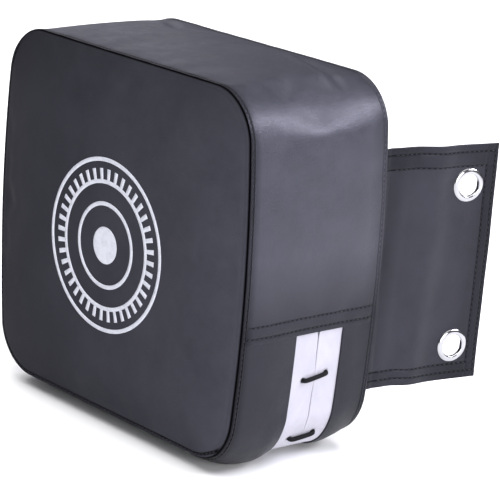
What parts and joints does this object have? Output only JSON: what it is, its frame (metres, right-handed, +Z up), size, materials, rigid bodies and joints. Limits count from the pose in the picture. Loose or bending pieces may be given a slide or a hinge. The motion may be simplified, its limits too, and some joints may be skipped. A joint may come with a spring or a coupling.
{
  "type": "wall-mounted striking pad",
  "caption": "Box-shaped stuffed leather striking pad with a crowned square face, a laced filling slit underneath and two fold-out mounting wings with eyelets.",
  "frame": {"origin": "centre of the back of the pad, on the rear face of the mounting sheet that lies against the wall", "axes": "+Y points out of the back into the wall, so the striking face looks along -Y; +X is to the right for a person facing the striking face; +Z is up"},
  "size_m": [0.4676, 0.3546, 0.4178],
  "materials": {
    "face_leather": "satin",
    "target_print": "matte",
    "band_leather": "satin",
    "back_leather": "satin",
    "wing_leather": "satin",
    "hem_leather": "satin",
    "closure_webbing": "matte",
    "underlay_fabric": "matte",
    "lace_cord": "matte",
    "lace_eyelet_metal": "satin",
    "eyelet_chrome": "polished",
    "foam_sheet": "matte",
    "stuffing": "matte"
  },
  "bodies": {
    "pad": {"face_panel": "face_leather", "face_print": "target_print", "face_welt": "band_leather", "upper_band": "band_leather", "lower_band_front": "band_leather", "lower_band_rear": "band_leather", "joint_strip_right": "band_leather", "joint_strip_left": "band_leather", "back_welt": "band_leather", "back_panel": "back_leather", "mount_sheet": "back_leather", "closure_tape_front": "closure_webbing", "closure_tape_rear": "closure_webbing", "closure_underlay": "underlay_fabric", "closure_lace": "lace_cord", "lace_knots": "lace_cord", "lace_eyelets": "lace_eyelet_metal", "front_foam": "foam_sheet", "side_foam_wrap": "foam_sheet", "rear_foam": "foam_sheet", "core_stuffing": "stuffing"},
    "wing_right": {"wing_right_panel": "wing_leather", "wing_right_top_hem": "hem_leather", "wing_right_bottom_hem": "hem_leather", "wing_right_end_hem": "hem_leather", "wing_right_upper_grommet": "eyelet_chrome", "wing_right_upper_washer": "eyelet_chrome", "wing_right_lower_grommet": "eyelet_chrome", "wing_right_lower_washer": "eyelet_chrome"},
    "wing_left": {"wing_left_panel": "wing_leather", "wing_left_top_hem": "hem_leather", "wing_left_bottom_hem": "hem_leather", "wing_left_end_hem": "hem_leather", "wing_left_upper_grommet": "eyelet_chrome", "wing_left_upper_washer": "eyelet_chrome", "wing_left_lower_grommet": "eyelet_chrome", "wing_left_lower_washer": "eyelet_chrome"}
  },
  "joints": [
    {"name": "wing_right_fold", "type": "hinge", "parent": "pad", "child": "wing_right", "pos_m": [0.196, 0, 0], "axis": [0, 0, 1], "range_deg": [-76, 84]},
    {"name": "wing_left_fold", "type": "hinge", "parent": "pad", "child": "wing_left", "pos_m": [-0.196, 0, 0], "axis": [0, 0, -1], "range_deg": [-76, 84]}
  ]
}
